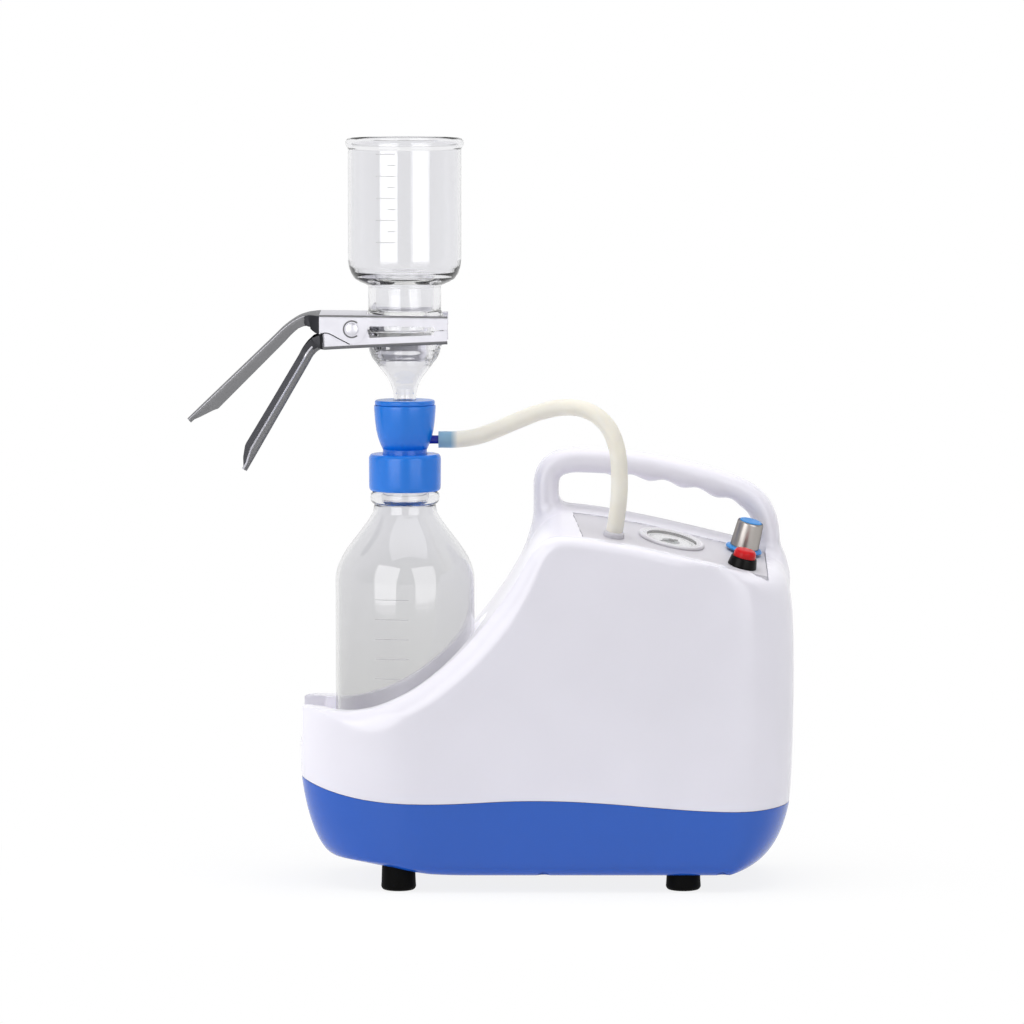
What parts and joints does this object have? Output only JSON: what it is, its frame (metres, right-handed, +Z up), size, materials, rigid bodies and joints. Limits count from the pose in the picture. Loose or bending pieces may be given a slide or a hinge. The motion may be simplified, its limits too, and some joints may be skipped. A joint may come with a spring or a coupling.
{
  "type": "vacuum filtration unit",
  "caption": "Portable vacuum filtration unit: pump case with carry handle and control panel, a glass receiving bottle in its well, and a clamped glass funnel joined by a silicone hose.",
  "frame": {"origin": "middle of the bounding box's footprint, at bench level", "axes": "+Z up, front faces -Y, the bottle is towards -X"},
  "size_m": [0.4365, 0.16, 0.5361],
  "materials": {
    "white_shell": "satin",
    "blue_shell": "satin",
    "grey_panel": "satin",
    "black_rubber": "matte",
    "bright_steel": "polished",
    "zinc_steel": "satin",
    "brass": "satin",
    "silver_metal": "satin",
    "sky_blue": "gloss",
    "red_plastic": "gloss",
    "black_plastic": "satin",
    "bright_blue": "gloss",
    "navy_plastic": "satin",
    "clear_glass": "polished",
    "clear_lens": "polished",
    "cream_silicone": "satin",
    "white_silicone": "satin",
    "sintered_glass": "matte",
    "white_membrane": "matte",
    "white_dial": "matte",
    "spring_steel": "satin",
    "grey_cast": "matte",
    "motor_paint": "matte",
    "bronze_filter": "matte",
    "capacitor_case": "satin"
  },
  "bodies": {
    "root": {"upper_housing": "white_shell", "base_tray": "blue_shell", "control_panel": "grey_panel", "foot_front_left": "black_rubber", "foot_front_right": "black_rubber", "foot_back_left": "black_rubber", "foot_back_right": "black_rubber", "foot_screws": "zinc_steel", "case_screws": "zinc_steel", "gauge_can": "black_plastic", "gauge_rim": "grey_panel", "gauge_dial": "white_dial", "gauge_lens": "clear_lens", "regulator_valve": "brass", "button_surround": "black_plastic", "button_switch": "black_plastic", "inlet_fitting": "grey_panel", "vacuum_hose": "cream_silicone", "bottle": "clear_glass", "mouth_gasket": "white_silicone", "filter_head": "bright_blue", "hose_nozzle": "navy_plastic", "head_lid": "bright_blue", "stem_seal": "white_silicone", "filter_base": "clear_glass", "sintered_disc": "sintered_glass", "filter_membrane": "white_membrane", "funnel": "clear_glass", "clamp_lower_jaw": "bright_steel", "clamp_pin": "bright_steel", "clamp_spring": "spring_steel", "pump_plate": "zinc_steel", "pump_dampers": "black_rubber", "pump_motor": "motor_paint", "pump_body": "grey_cast", "vacuum_manifold": "brass", "silencer": "bronze_filter", "run_capacitor": "capacitor_case", "inlet_line": "cream_silicone", "gauge_line": "cream_silicone", "valve_line": "cream_silicone", "mains_inlet": "black_plastic", "wire_loom": "black_plastic"},
    "knob": {"knob_spindle": "zinc_steel", "regulator_knob": "silver_metal", "knob_cap": "sky_blue", "knob_skirt": "sky_blue"},
    "button": {"power_button": "red_plastic"},
    "needle": {"gauge_needle": "black_plastic"},
    "ring": {"screw_ring": "bright_blue"},
    "upper_jaw": {"clamp_upper_jaw": "bright_steel"},
    "fan": {"motor_shaft": "zinc_steel", "cooling_fan": "black_plastic"}
  },
  "joints": [
    {"name": "regulator_turn", "type": "hinge", "parent": "root", "child": "knob", "pos_m": [0.18231, -0.003, 0.23856], "axis": [0.2392, -0.1469, 0.9598], "range_deg": [-135, 135]},
    {"name": "button_press", "type": "slide", "parent": "root", "child": "button", "axis": [-0.2387, 0.1469, -0.9599], "range_m": [0, 0.003], "stiffness_N_per_m": 700, "springref_m": -0.001},
    {"name": "gauge_sweep", "type": "hinge", "parent": "root", "child": "needle", "pos_m": [0.13031, -0.019, 0.24858], "axis": [-0.2182, 0.1476, -0.9647], "range_deg": [0, 270], "stiffness_Nm_per_rad": 0.00002},
    {"name": "ring_turn", "type": "hinge", "parent": "root", "child": "ring", "pos_m": [-0.06169, 0, 0.2955], "axis": [0, 0, 1], "range_deg": [0, 360]},
    {"name": "clamp_squeeze", "type": "hinge", "parent": "root", "child": "upper_jaw", "pos_m": [-0.09919, 0, 0.4006], "axis": [0, -1, 0], "range_deg": [0, 11], "stiffness_Nm_per_rad": 1.2, "springref_deg": -14.32, "deforming": ["clamp_spring"]},
    {"name": "fan_spin", "type": "hinge", "parent": "root", "child": "fan", "pos_m": [0.08431, 0, 0.0995], "axis": [1, 0, 0], "continuous": true}
  ]
}
